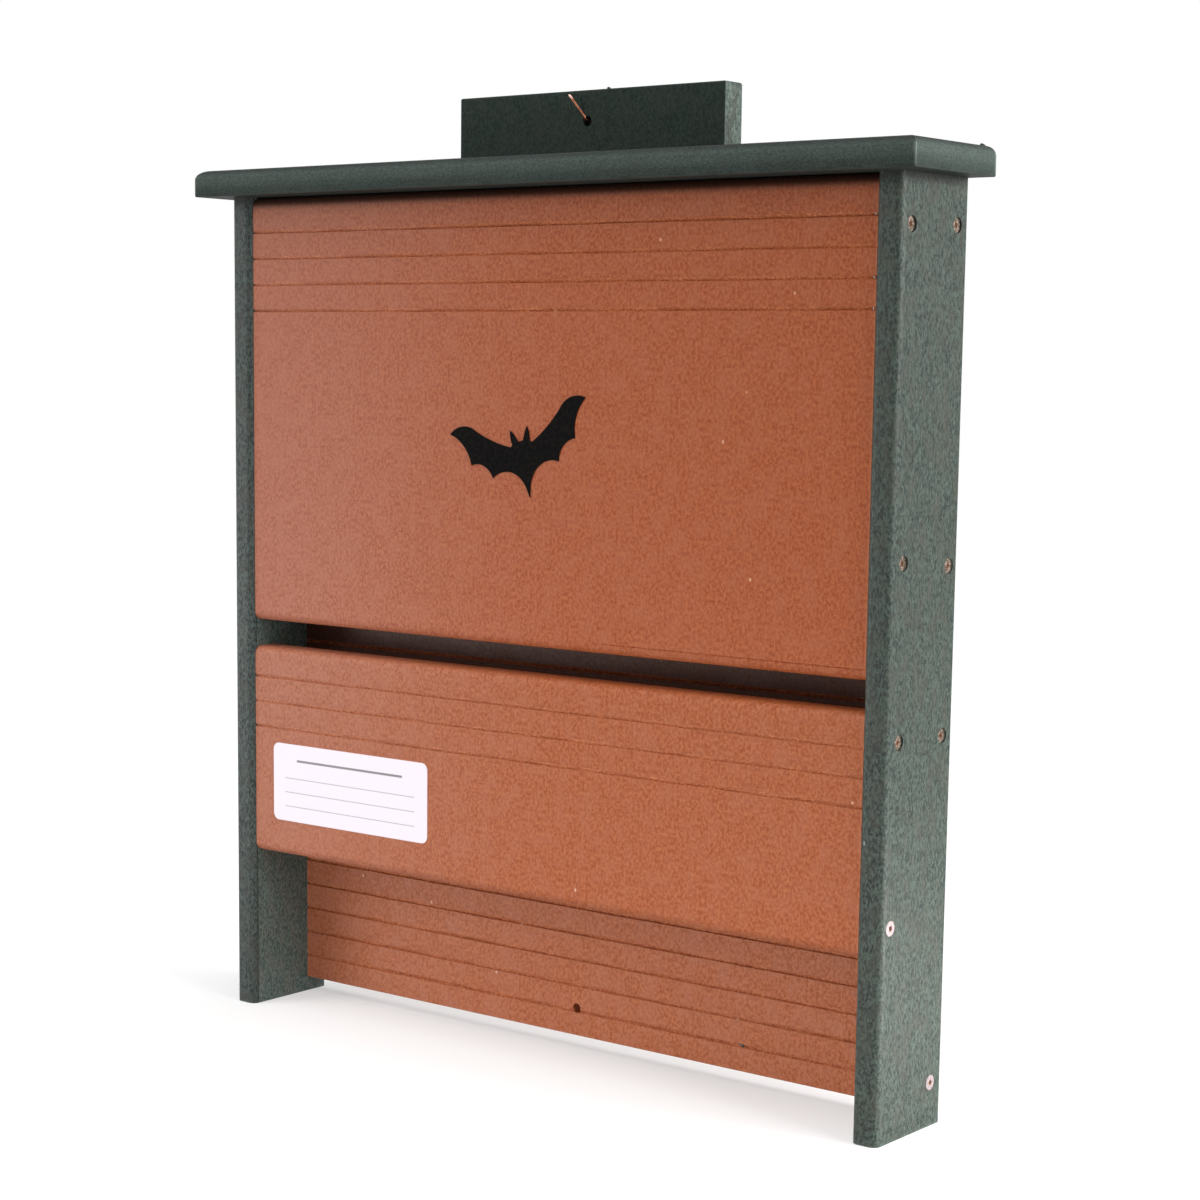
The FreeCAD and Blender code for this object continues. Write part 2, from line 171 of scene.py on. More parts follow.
def pressed_sheet(name, box, colours, crumb_scale, mottle_scale, amounts, stretch, gloss, worn, wear=0.35,
                  relief=0.0003):
    """Finish of a board: its crumbs drawn out along the sheet by stretch, and its arrises rubbed paler."""
    finish, tree, shader, place = new_finish(name)
    shader["Specular IOR Level"].default_value = gloss
    drawn = step(tree, "Mapping", {"Vector": place, "Scale": stretch}).outputs[0]
    mixture = {"Vector": drawn, "Crumb scale": crumb_scale, "Mottle scale": mottle_scale}
    mixture.update(zip(("Body colour", "Dark crumb", "Pale crumb", "Mottle colour", "Chip colour"),
                       ((*colour, 1) for colour in colours)))
    mixture.update(zip(("Crumbs", "Mottle", "Chips"), amounts))
    look = step(tree, "Group", mixture, node_tree=crumbs).outputs
    low, high = (Vector(corner) for corner in box)
    arrises = {"Vector": place, "Middle": (low + high) / 2, "Half size": (high - low) / 2, "Width": 0.0012}
    share = sum_of(tree, "MULTIPLY", step(tree, "Group", arrises, node_tree=rubbed).outputs["Mask"], wear)
    tree.links.new(blend(tree, share, look["Color"], (*worn, 1)), shader["Base Color"])
    tree.links.new(look["Roughness"], shader["Roughness"])
    bump = step(tree, "Bump", {"Height": look["Height"], "Strength": 0.5, "Distance": relief})
    tree.links.new(bump.outputs[0], shader["Normal"])
    return finish


ACROSS, UP = (1, 0, 0), (0, 0, 1)
# The near black colour that veil lays as painted shade
PAINTED_SHADE = (0.010, 0.008, 0.007, 1)


def veil(finish, way, start, stop, share, colour=PAINTED_SHADE):
    """Lay a film of painted shade or painted sheen over a finish, from nothing at start to its share from
    stop on.
    """
    tree = finish.node_tree
    body = tree.nodes["Principled BSDF"].inputs["Base Color"]
    extent = {"Vector": step(tree, "TexCoord").outputs["Object"], "Way": way, "Start": start, "Stop": stop,
              "Share": share}
    cover = step(tree, "Group", extent, node_tree=film).outputs["Mask"]
    tree.links.new(blend(tree, cover, body.links[0].from_socket, colour), body)


def tinted(sheet, tint):
    """The colours of a sheet with each channel scaled, for another batch or, where its call says so, for
    painted light or painted sheen.
    """
    return [[level * lift for level, lift in zip(colour, tint)] for colour in sheet]


def clear_selection():
    bpy.ops.object.select_all(action="DESELECT")


def open_piece(piece, mode="EDIT"):
    """Make a piece the only one selected, and work on it in edit mode."""
    clear_selection()
    bpy.context.view_layer.objects.active = piece
    piece.select_set(True)
    bpy.ops.object.mode_set(mode=mode)


def close_piece():
    bpy.ops.object.mode_set(mode="OBJECT")


def new_board(name, low, high):
    """Board stock between two corners."""
    clear_selection()
    bpy.ops.mesh.primitive_cube_add(size=1, location=(Vector(low) + Vector(high)) / 2)
    board = bpy.context.object
    board.name = name
    board.scale = Vector(high) - Vector(low)
    bpy.ops.object.transform_apply(location=True, rotation=True, scale=True)
    return board


def near(value, mark, within=0.00001):
    return abs(value - mark) < within


def pick(piece, kind, test):
    """In edit mode, select the vertices, edges or faces of a piece whose middle passes the test."""
    open_piece(piece)
    bpy.ops.mesh.select_mode(type=kind)
    bpy.ops.mesh.select_all(action="DESELECT")
    close_piece()
    points = piece.data.vertices
    for item in {"VERT": points, "EDGE": piece.data.edges, "FACE": piece.data.polygons}[kind]:
        corners = [item.index] if kind == "VERT" else item.vertices
        item.select = test(sum((points[corner].co for corner in corners), Vector()) / len(corners))
    bpy.ops.object.mode_set(mode="EDIT")


def round_over(piece, radius, segments, test):
    """Round the edges whose middle passes the test."""
    pick(piece, "EDGE", test)
    bpy.ops.mesh.bevel(offset=radius, segments=segments, profile=0.5, affect="EDGES")
    close_piece()


def draw_out(drops):
    """From the face picked, draw each next length of a round bar: its drop and how much it narrows."""
    for drop, across in drops:
        bpy.ops.mesh.extrude_region_move(TRANSFORM_OT_translate={"value": (0, 0, -drop)})
        bpy.ops.transform.resize(value=(across, across, 1))


def bore(piece, drills):
    """Cut the shape of each drill out of a piece."""
    open_piece(piece, "OBJECT")
    for drill in drills:
        hole = piece.modifiers.new("hole", "BOOLEAN")
        hole.operation = "DIFFERENCE"
        hole.solver = "EXACT"
        hole.object = drill
        bpy.ops.object.modifier_apply(modifier=hole.name)


def turned_copies(pattern, name, spots):
    """Join copies of a pattern, each with its own mesh: spots give the turn and place of each."""
    copies = []
    for turn, place in spots:
        copy = pattern.copy()
        copy.data = pattern.data.copy()
        bpy.context.collection.objects.link(copy)
        copy.matrix_world = Matrix.Translation(place) @ turn
        copies.append(copy)
    clear_selection()
    for copy in copies:
        copy.select_set(True)
    bpy.context.view_layer.objects.active = copies[0]
    bpy.ops.object.join()
    bpy.ops.object.transform_apply(location=True, rotation=True, scale=True)
    copies[0].name = name
    return copies[0]


def turned(degrees, axis):
    """A turn about one axis."""
    return Matrix.Rotation(math.radians(degrees), 4, axis)


def dress(piece, node=None, finishes=(), faces=None):
    """Smooth a piece, give it its finishes, the second to the faces that pass the test, and seat it."""
    open_piece(piece, "OBJECT")
    bpy.ops.object.shade_smooth_by_angle(angle=math.radians(32))
    bpy.ops.object.modifier_add(type="WEIGHTED_NORMAL")
    piece.modifiers[-1].keep_sharp = True
    bpy.ops.object.modifier_apply(modifier=piece.modifiers[-1].name)
    for finish in finishes:
        piece.data.materials.append(finish)
    if faces:
        for face in piece.data.polygons:
            face.material_index = int(faces(face))
    if node:
        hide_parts(node)
    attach(piece, "root")


# The seat drill points down Z, with the face of the screw's head at zero: a countersink for the
# head, a hole for the shank, and a top that narrows, as the sheet springs back over a deep head.
ROUND_SIDES = 28
seat_radius, mouth_radius, mouth_depth = 0.00345, 0.0029, 0.004
rim_share, sink_depth, shank_share, shank_depth = 0.97, 0.00165, 0.522, 0.03135
clear_selection()
bpy.ops.mesh.primitive_cone_add(vertices=ROUND_SIDES, radius1=seat_radius, radius2=mouth_radius,
                                depth=mouth_depth, location=(0, 0, mouth_depth / 2))
drill = bpy.context.object
drill.name = "seat_drill"
bpy.ops.object.transform_apply(location=True)
pick(drill, "FACE", lambda middle: near(middle.z, 0))
draw_out(((0, rim_share), (sink_depth, shank_share), (shank_depth, 1.0)))
close_piece()

half_stock = 0.00635
head_below = 0.0012
hanger_screw_x = 0.05
side_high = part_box("side_right")[1]
roof_low, roof_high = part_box("roof")
front_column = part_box("front_upper")[0][1] + half_stock
back_column = side_high[1] - half_stock
# Each row through a side: height, how far the screw strayed back and up, its depth and its turn.
# The left side is taken as the mirror of the right, with its strays the other way.
seat_rows = {
    "upper_front_screws": (front_column, ((0.3795, -0.0009, 0.0, 0.0009, 20),
                                          (0.2420, 0.0, 0.0017, 0.0008, 64))),
    "lower_front_screws": (front_column, ((0.1695, 0.0003, 0.0006, 0.0007, 38),
                                          (0.0930, -0.0019, -0.0004, 0.0001, 8))),
    "back_board_screws": (back_column, ((0.3795, -0.0014, 0.0011, 0.0008, 75),
                                        (0.2420, 0.0, -0.0011, 0.0005, 50),
                                        (0.1695, -0.0009, 0.0, 0.0007, 12),
                                        (0.0196, -0.0016, -0.0004, 0.0001, 31))),
}
inward = {-1: turned(-90, "Y"), 1: turned(90, "Y")}
seats = {}
for node, (column, rows) in seat_rows.items():
    seats[node] = []
    for height, back, up, depth, turn in rows:
        for side in (-1, 1):
            spot = Vector((side * (side_high[0] - depth), column + back * side, height + up * side))
            seats[node].append((inward[side] @ turned(turn, "Z"), spot))
roof_corners = [(side, depth) for side in (-1, 1) for depth in (-0.0016, 0.0164)]
seats["roof_screws"] = [(turned(23 * number, "Z"),
                         Vector((side * (side_high[0] - half_stock), depth, roof_high[2] - head_below)))
                        for number, (side, depth) in enumerate(roof_corners)]
seats["hanger_screws"] = [(turned(180, "X") @ turned(30 * side, "Z"),
                           Vector((side * hanger_screw_x, back_column, roof_low[2] + head_below)))
                          for side in (-1, 1)]
drills = {node: turned_copies(drill, node + "_drill", spots) for node, spots in seats.items()}
bpy.data.objects.remove(drill)

# Colours of a sheet: its body, dark crumb, pale crumb, mottle and chip
GREEN = ((0.015, 0.028, 0.022), (0.004, 0.007, 0.006), (0.055, 0.077, 0.061), (0.041, 0.041, 0.031),
         (0.20, 0.22, 0.20))
green_grain = {"crumb_scale": 1000, "mottle_scale": 170, "amounts": (0.9, 0.5, 0.012),
               "stretch": (1, 1, 0.55), "gloss": 0.3, "worn": (0.09, 0.12, 0.10)}
inner_grain = {**green_grain, "amounts": (0.5, 0.3, 0.012)}
routed_round, saw_round, painted_shade_reach = 0.0035, 0.0008, 0.005
for node in ("side_left", "side_right"):
    low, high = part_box(node)
    board = new_board(node + "_board", low, high)
    for x in (low[0], high[0]):
        round_over(board, routed_round, 8, lambda middle: near(middle.x, x) and near(middle.y, low[1]))
        round_over(board, saw_round, 3, lambda middle: near(middle.x, x) and near(middle.y, high[1]))
    bore(board, [drills[group] for group in (*seat_rows, "roof_screws")])
    inner = low[0] if node == "side_right" else high[0]
    # A bluer tint on the left side is painted sheen.
    tint = (1.02, 0.99, 1.1) if node == "side_left" else (1, 1, 1)
    outside = pressed_sheet(node + "_pressed", (low, high), tinted(GREEN, tint), **green_grain)
    # Painted shade: the top of each side darkens where the roof overhangs it.
    veil(outside, UP, high[2] - painted_shade_reach, high[2] - 0.0005, 0.65)
    # Painted light: the inner faces are made over three times paler, to stand in for light inside the box.
    inside = pressed_sheet(node + "_inner", (low, high), tinted(GREEN, (3.6, 3.2, 3.6)), **inner_grain)
    dress(board, node, [outside, inside], lambda face: near(face.center.x, inner))

# Back board: clay coloured sheet between the sides, scored from top to bottom with V grooves, so
# that bats can cling to it. The grooves tear the sheet a little, so their bottoms wander and the
# cut flanks are rougher than the pressed face, and brighter: partly fresh cut, partly painted light in the
# grooves.
CLAY = ((0.342, 0.078, 0.015), (0.235, 0.044, 0.009), (0.470, 0.145, 0.055), (0.390, 0.125, 0.062),
        (0.60, 0.33, 0.22))
# Colours of the cut flanks: partly paler fresh cut plastic, partly painted light against the shade in the
# grooves.
TORN_AND_PAINTED_LIGHT = ((0.49, 0.150, 0.060), (0.30, 0.080, 0.033), (0.60, 0.215, 0.100), (0.38, 0.118, 0.060),
        (0.60, 0.40, 0.30))
clay_grain = {"crumb_scale": 700, "mottle_scale": 130, "amounts": (0.6, 0.4, 0.006), "stretch": (1, 1, 0.8),
              "worn": (0.50, 0.20, 0.10)}
torn_grain = {"crumb_scale": 900, "mottle_scale": 200, "amounts": (0.9, 0.4, 0.03), "stretch": (1, 1, 1),
              "gloss": 0.15, "worn": (0.50, 0.20, 0.10), "wear": 0.1, "relief": 0.0009}
# Painted sheen: a pale film that lightens the clay boards towards their left end.
PAINTED_SHEEN = (0.72, 0.68, 0.70, 1)
sheen_start = 0.03
groove_pitch, groove_depth, first_groove, back_rows = 0.0125, 0.0009, 0.012, 31
WHOLE_BOARD = -1


def score(board, front, heights, seed, deep=groove_depth, start=WHOLE_BOARD):
    """Cut grooves twice as wide as deep along the front of a board, from start to its right end.

    The tool leans, so that the bottom lies nearer to the lower lip, and it wanders by a little.
    """
    open_piece(board)
    low_x, high_x = board.bound_box[0][0], board.bound_box[6][0]
    lengths = 44
    for height in heights:
        for level in (height - deep, height - deep / 2, height + deep):
            bpy.ops.mesh.select_all(action="SELECT")
            bpy.ops.mesh.bisect(plane_co=(0, 0, level), plane_no=UP)
    for number in range(1, lengths):
        bpy.ops.mesh.select_all(action="SELECT")
        bpy.ops.mesh.bisect(plane_co=(low_x + (high_x - low_x) * number / lengths, 0, 0), plane_no=ACROSS)
    close_piece()
    bottoms = [height - deep / 2 for height in heights]
    pick(board, "VERT", lambda middle: near(middle.y, front) and middle.x > start
         and any(near(middle.z, bottom) for bottom in bottoms))
    bpy.ops.transform.translate(value=(0, deep, 0))
    bpy.ops.transform.vertex_random(offset=deep * 0.2, uniform=1.0, normal=0.0, seed=seed)
    close_piece()
    lips = [height + side for height in heights for side in (-deep, deep)]
    pick(board, "VERT", lambda middle: near(middle.y, front) and low_x + 0.001 < middle.x < high_x - 0.001
         and any(near(middle.z, lip) for lip in lips))
    bpy.ops.transform.vertex_random(offset=deep * 0.11, uniform=1.0, normal=0.0, seed=seed + 1)
    close_piece()


def in_groove(front, heights):
    """A test for the cut flanks of the grooves."""
    return lambda face: (face.center.y < front + 0.0012 and abs(face.normal.z) > 0.3
                         and any(near(face.center.z, height, 0.0011) for height in heights))


def bore_through(board, seat_drills, radius, height):
    """Bore a board's screw seats, and one round hole from front to back on its middle line."""
    clear_selection()
    bpy.ops.mesh.primitive_cylinder_add(vertices=ROUND_SIDES, radius=radius, depth=0.03,
                                        location=(0, back_column, height), rotation=(math.radians(90), 0, 0))
    twist_drill = bpy.context.object
    bore(board, [*seat_drills, twist_drill])
    bpy.data.objects.remove(twist_drill)


low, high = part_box("back_board")
board = new_board("back_board_scored", low, high)
round_over(board, saw_round, 3, lambda middle: near(middle.z, low[2]) and near(middle.x, 0)
           and not near(middle.y, (low[1] + high[1]) / 2))
back_grooves = [low[2] + first_groove + groove_pitch * number for number in range(back_rows)]
score(board, low[1], back_grooves, 5)
bore_through(board, [drills["back_board_screws"]], radius=0.0023, height=0.0205)
# Painted light: the back board's colours are scaled paler, to stand in for light in its shaded recess.
pressed = pressed_sheet("back_board_pressed", (low, high), tinted(CLAY, (1.13, 1.20, 1.31)), gloss=0.4,
                        **clay_grain)
veil(pressed, ACROSS, sheen_start, low[0], 0.03, PAINTED_SHEEN)
# Painted shade on the roost side: the way leans so far forward that it ends inside the sheet, short of its
# back
lean, unshaded_below, shaded_above = 40, 0.085, 0.125
veil(pressed, (0, -lean, 1), unshaded_below - lean * low[1], shaded_above - lean * low[1], 0.7)
torn = pressed_sheet("back_board_torn", (low, high), TORN_AND_PAINTED_LIGHT, **torn_grain)
dress(board, "back_board", [pressed, torn], in_groove(low[1], back_grooves))

# Front boards: the same clay coloured sheet, with a vent slot between the upper and the lower
# one. Their long front edges are routed round, three or four grooves run below the top, and the
# router left a faint mark just above the slot. Painted sheen pales them towards the left, and
# painted shade darkens the top of the upper one under the roof.
front_grooves = {node: [top - groove_pitch * number for number in range(rows)]
                 for node, top, rows in (("front_upper", 0.3834, 4), ("front_lower", 0.1673, 3))}
top_round, front_round = 0.005, 0.004
mark_above, mark_depth, mark_start = 0.0046, 0.0003, 0.039
shaded_from, shaded_to = 0.3930, 0.3975
for number, (node, heights) in enumerate(front_grooves.items()):
    low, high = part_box(node)
    board = new_board(node + "_board", low, high)
    upper = node == "front_upper"
    for edge_z in (low[2], high[2]):
        radius = top_round if upper and edge_z == high[2] else front_round
        round_over(board, radius, 8, lambda middle: near(middle.z, edge_z) and near(middle.y, low[1])
                   and near(middle.x, 0))
        round_over(board, saw_round, 3, lambda middle: near(middle.z, edge_z) and near(middle.y, high[1])
                   and near(middle.x, 0))
    score(board, low[1], heights, 11 + 7 * number)
    if upper:
        score(board, low[1], [low[2] + mark_above], 31, deep=mark_depth, start=mark_start)
    bore(board, [drills["upper_front_screws" if upper else "lower_front_screws"]])
    tint = (0.97, 0.87, 0.73) if upper else (1, 0.99, 0.96)
    pressed = pressed_sheet(node + "_pressed", (low, high), tinted(CLAY, tint), gloss=0.3, **clay_grain)
    torn = pressed_sheet(node + "_torn", (low, high), tinted(TORN_AND_PAINTED_LIGHT, tint), **torn_grain)
    for finish in (pressed, torn):
        veil(finish, ACROSS, sheen_start, low[0], 0.06, PAINTED_SHEEN)
    # Painted shade under the roof, along the top of the upper board
    veil(pressed, UP, shaded_from, shaded_to, 0.85)
    dress(board, node, [pressed, torn], in_groove(low[1], heights))

# Roof: one green board that oversails the front and both sides, its front and end edges routed
# round, wider than deep. Four screws go down through it into the sides, and two come up through it
# from below. The router left darker streaks along its edge, and painted shade darkens the top
# round above them and the lower arris below them.


def stretch(board, share, fixed):
    """Stretch or squeeze a board upright, about a point that stays where it is."""
    open_piece(board)
    bpy.ops.mesh.select_all(action="SELECT")
    bpy.ops.transform.resize(value=(1, 1, share), center_override=fixed)
    close_piece()


low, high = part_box("roof")
board = new_board("roof_board", low, high)
wide, deep, lower_round = 0.0060, 0.0046, 0.0006
stretch(board, wide / deep, high)
round_over(board, wide, 10, lambda middle: near(middle.z, high[2]) and not near(middle.y, high[1]))
stretch(board, deep / wide, high)
round_over(board, lower_round, 3, lambda middle: near(middle.z, low[2]) and not near(middle.y, high[1]))
bore(board, [drills["roof_screws"], drills["hanger_screws"]])
# The box of the finish stands above the roof, so that its upper arrises don't rub pale
ROUTED_GREEN = ((0.088, 0.110, 0.099), (0.012, 0.018, 0.015), (0.080, 0.105, 0.090), *GREEN[3:])
finish = pressed_sheet("roof_pressed", (low, Vector(high) + Vector((0, 0, 0.02))), ROUTED_GREEN,
                       crumb_scale=1300, mottle_scale=120, amounts=(0.45, 0.12, 0.004), stretch=(0.6, 1, 1),
                       gloss=0.04, worn=(0.25, 0.30, 0.27), wear=0.6)
tree = finish.node_tree
body = tree.nodes["Principled BSDF"].inputs["Base Color"]
place = step(tree, "TexCoord").outputs["Object"]
drawn = step(tree, "Mapping", {"Vector": place, "Scale": (0.03, 0.03, 1)}).outputs[0]
level = step(tree, "SeparateXYZ", {0: place}).outputs[2]
streak_top, streak_foot, stray = 0.0092, 0.0035, 0.003
wander = sum_of(tree, "MULTIPLY", cloudy(tree, drawn, 900.0, 2.0), stray)
streak = soft_step(tree, sum_of(tree, "ADD", level, wander), low[2] + streak_top, low[2] + streak_foot)
shade = sum_of(tree, "MULTIPLY", streak, 0.45)
tree.links.new(blend(tree, shade, body.links[0].from_socket, (0.004, 0.007, 0.006, 1)), body)
# Painted shade: the top round and the lower arris are darkened.
veil(finish, UP, high[2] - 0.0036, high[2] - 0.0002, 0.8, (0.005, 0.008, 0.007, 1))
veil(finish, UP, low[2] + 0.0018, low[2] + 0.0004, 0.5)
dress(board, "roof", [finish])

# Hanger board: a short green board that stands on the back of the roof, sawn square, with a hole
# for the nail or wire that the box hangs from. Its sawn ends are paler than its pressed face.
low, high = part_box("hanger_board")
board = new_board("hanger_top_board", low, high)
round_over(board, saw_round, 3, lambda middle: near(middle.z, high[2])
           or near(middle.y, low[1]) and not near(middle.z, low[2]))
bore_through(board, [drills["hanger_screws"]], radius=0.0024, height=0.4307)
pressed = pressed_sheet("hanger_pressed", (low, high), tinted(GREEN, (0.86, 0.86, 0.86)), crumb_scale=1100,
                        mottle_scale=120, amounts=(0.3, 0.25, 0.006), stretch=(1, 1, 0.7), gloss=0.08,
                        worn=(0.03, 0.04, 0.035))
SAWN_GREEN = ((0.064, 0.092, 0.077), (0.024, 0.038, 0.032), (0.132, 0.170, 0.142), (0.030, 0.030, 0.024),
              (0.30, 0.34, 0.30))
sawn = pressed_sheet("hanger_sawn", (low, high), SAWN_GREEN, crumb_scale=1100, mottle_scale=160,
                     amounts=(0.9, 0.6, 0.05), stretch=(1, 1, 0.5), gloss=0.3, worn=(0.05, 0.07, 0.07))
dress(board, "hanger_board", [pressed, sawn],
      lambda face: abs(face.normal.x) > 0.9 and abs(face.center.x) > 0.01)

# Screws: countersunk bronze coloured deck screws with a square drive, 32 mm long, sunk by hand.
# One is turned up from its head down, and the rest are copies in the seats bored above. Those in
# the upper rows are coloured darker, and those near the foot brighter.
bronze, tree, shader, place = new_finish("screw_bronze")
shader["Metallic"].default_value = 1.0
tarnish = cloudy(tree, place, 700.0, 3.0)
upper_rows_tone = blend(tree, soft_step(tree, tarnish, 0.42, 0.54), (0.42, 0.31, 0.25, 1), (0.13, 0.10, 0.075, 1))
bright = blend(tree, soft_step(tree, tarnish, 0.45, 0.7), (0.42, 0.35, 0.36, 1), (0.30, 0.22, 0.20, 1))
height = step(tree, "SeparateXYZ", {0: place}).outputs[2]
# The screws are darker above and brighter near the foot, set by height.
tree.links.new(blend(tree, soft_step(tree, height, 0.105, 0.15), bright, upper_rows_tone), shader["Base Color"])
tree.links.new(ramp(tree, tarnish, 0.35, 0.7, 0.34, 0.52), shader["Roughness"])
drive_dirt, tree, shader, place = new_finish("drive_dirt")
shader["Specular IOR Level"].default_value = 0.2
packed = cloudy(tree, place, 1500.0, 2.0)
tree.links.new(blend(tree, packed, (0.42, 0.25, 0.17, 1), (0.22, 0.12, 0.08, 1)), shader["Base Color"])
tree.links.new(ramp(tree, packed, 0.0, 1.0, 0.6, 0.9), shader["Roughness"])

head_radius, rim, head_depth, shank_share, plain_shank = 0.0033, 0.0002, 0.00145, 0.515, 0.006
thread_turns, half_pitch, thread_bottom, point, point_share = 10, 0.001, 0.72, 0.00435, 0.2
drive_size, drive_taper, drive_reach, drive_depth = 0.0023, 0.8, 0.0019, 0.0016
clear_selection()
bpy.ops.mesh.primitive_cylinder_add(vertices=ROUND_SIDES, radius=head_radius, depth=rim,
                                    location=(0, 0, -rim / 2))
screw = bpy.context.object
screw.name = "deck_screw"
bpy.ops.object.transform_apply(location=True)
pick(screw, "FACE", lambda middle: near(middle.z, -rim))
draw_out(((head_depth, shank_share), (plain_shank, 1.0)))
draw_out(((half_pitch, thread_bottom), (half_pitch, 1 / thread_bottom)) * thread_turns)
draw_out(((point, point_share),))
close_piece()
clear_selection()
bpy.ops.mesh.primitive_cube_add(size=drive_size)
driver = bpy.context.object
pick(driver, "FACE", lambda middle: middle.z < -0.001)
bpy.ops.transform.resize(value=(drive_taper, drive_taper, 1))
close_piece()
bore(screw, [driver])
bpy.data.objects.remove(driver)
round_over(screw, 0.00012, 2, lambda middle: near(middle.z, 0) and math.hypot(middle.x, middle.y) > 0.003)
for finish in (bronze, drive_dirt):
    screw.data.materials.append(finish)
for face in screw.data.polygons:
    in_drive = math.hypot(face.center.x, face.center.y) < drive_reach
    face.material_index = int(-drive_depth < face.center.z < -0.0001 and in_drive)
for node, spots in seats.items():
    dress(turned_copies(screw, node + "_set", spots), node)
for tool in (screw, *drills.values()):
    bpy.data.objects.remove(tool)

# Torn crumbs: shreds of plastic that the router and the scoring tool left behind. Three hang at the
# right ends of the upper grooves, one green chip lies in the lowest groove of the back board, one
# stands on the top edge of the hanger board, and one at the back corner of the roof.
clear_selection()
bpy.ops.mesh.primitive_ico_sphere_add(subdivisions=2, radius=0.0006)
crumb_shape = bpy.context.object
crumb_shape.name = "crumb_shape"
open_piece(crumb_shape)
bpy.ops.mesh.select_all(action="SELECT")
bpy.ops.transform.resize(value=(1.5, 0.7, 0.8))
bpy.ops.transform.vertex_random(offset=0.00022, uniform=1.0, normal=0.0, seed=3)
close_piece()
front_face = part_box("front_upper")[0][1]
groove_end = 0.1768
torn_at = [front_grooves["front_upper"][row] for row in (0, 2, 3)]
shreds = turned_copies(crumb_shape, "groove_shreds",
                       [(Matrix.Rotation(0.8 * number, 4, "Y") @ Matrix.Scale(0.7, 4),
                         Vector((groove_end, front_face, height))) for number, height in enumerate(torn_at)])
loose_grain = {"crumb_scale": 900, "stretch": (1, 1, 1), "amounts": (0.8, 0.4, 0), "gloss": 0.3}
SHREDDED = ((0.55, 0.45, 0.42), (0.35, 0.22, 0.18), (0.75, 0.70, 0.68), (0.60, 0.50, 0.46), (0.8, 0.8, 0.8))
pale_shred = pressed_sheet("shred_pale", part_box("front_upper"), SHREDDED, mottle_scale=200,
                           worn=(0.6, 0.5, 0.5), **loose_grain)
dress(shreds, finishes=[pale_shred])
in_back_groove = Vector((0.0949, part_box("back_board")[0][1] + 0.0002, 0.0196))
on_hanger = Vector((0.0115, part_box("hanger_board")[0][1] + 0.0008, 0.4447))
on_roof_corner = Vector((0.1972, 0.0302, 0.4127))
chips = turned_copies(crumb_shape, "green_chips",
                      ((Matrix.Rotation(0.3, 4, "Y") @ Matrix.Diagonal((1.7, 1, 1, 1)), in_back_groove),
                       (Matrix.Rotation(0.2, 4, "Y"), on_hanger),
                       (Matrix.Rotation(0.5, 4, "Y") @ Matrix.Scale(1.5, 4), on_roof_corner)))
chip_green = pressed_sheet("chip_green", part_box("hanger_board"), GREEN, mottle_scale=150,
                           worn=(0.09, 0.12, 0.10), **loose_grain)
dress(chips, finishes=[chip_green])
bpy.data.objects.remove(crumb_shape)

# Label: a white plastic sticker with rounded corners, stuck on the lower front board. It is left
# blank but for one heavy and three light ruled lines to write on.


def paint(node, finish):
    """Give a CAD piece, whose shape is kept, its finish."""
    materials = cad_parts[node].data.materials
    materials.clear()
    materials.append(finish)


paper, tree, shader, place = new_finish("label_paper")
shader["Specular IOR Level"].default_value = 0.3
low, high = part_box("front_label")
sides = step(tree, "SeparateXYZ", {0: place}).outputs
from_middle = sum_of(tree, "ABSOLUTE", sum_of(tree, "SUBTRACT", sides[0], (low[0] + high[0]) / 2))
lines = 0.0
# Each line: height above the foot, half its thickness, distance from the label's ends and strength
heavy = (0.0305, 0.00055, 0.016, 0.9)
light = ((height, 0.00022, 0.008, 0.55) for height in (0.0215, 0.0145, 0.0075))
for height, thick, inset, strength in (heavy, *light):
    off = sum_of(tree, "ABSOLUTE", sum_of(tree, "SUBTRACT", sides[2], low[2] + height))
    across = sum_of(tree, "LESS_THAN", off, thick)
    along = sum_of(tree, "LESS_THAN", from_middle, (high[0] - low[0]) / 2 - inset)
    line = sum_of(tree, "MULTIPLY", sum_of(tree, "MULTIPLY", across, along), strength)
    lines = sum_of(tree, "MAXIMUM", lines, line)
fibre = cloudy(tree, place, 1500.0, 2.0)
stock = blend(tree, fibre, (0.90, 0.83, 0.90, 1), (0.86, 0.79, 0.87, 1))
tree.links.new(blend(tree, lines, stock, (0.16, 0.14, 0.15, 1)), shader["Base Color"])
tree.links.new(ramp(tree, fibre, 0.0, 1.0, 0.35, 0.5), shader["Roughness"])
paint("front_label", paper)

# Emblem: a flying bat in flat black, a thin layer on the face of the upper front board. It is
# matt, and a little browner where it has dulled.
black, tree, shader, place = new_finish("emblem_black")
shader["Specular IOR Level"].default_value = 0.02
soot = cloudy(tree, place, 700.0, 4.0)
dulled = soft_step(tree, soot, 0.4, 0.75)
tree.links.new(blend(tree, dulled, (0.004, 0.004, 0.004, 1), (0.012, 0.010, 0.009, 1)), shader["Base Color"])
tree.links.new(ramp(tree, soot, 0.0, 1.0, 0.5, 0.8), shader["Roughness"])
paint("bat_emblem", black)

# Copper pin: a bent copper nail left in the hanging hole, its end turned up and to the left. It
# is drawn wire, tarnished brown, with a painted highlight at its tip.
copper, tree, shader, place = new_finish("pin_copper")
shader["Metallic"].default_value = 1.0
worn = cloudy(tree, place, 600.0, 3.0)
height = step(tree, "SeparateXYZ", {0: place}).outputs[2]
tarnished = blend(tree, soft_step(tree, worn, 0.4, 0.7), (0.40, 0.16, 0.095, 1), (0.20, 0.07, 0.04, 1))
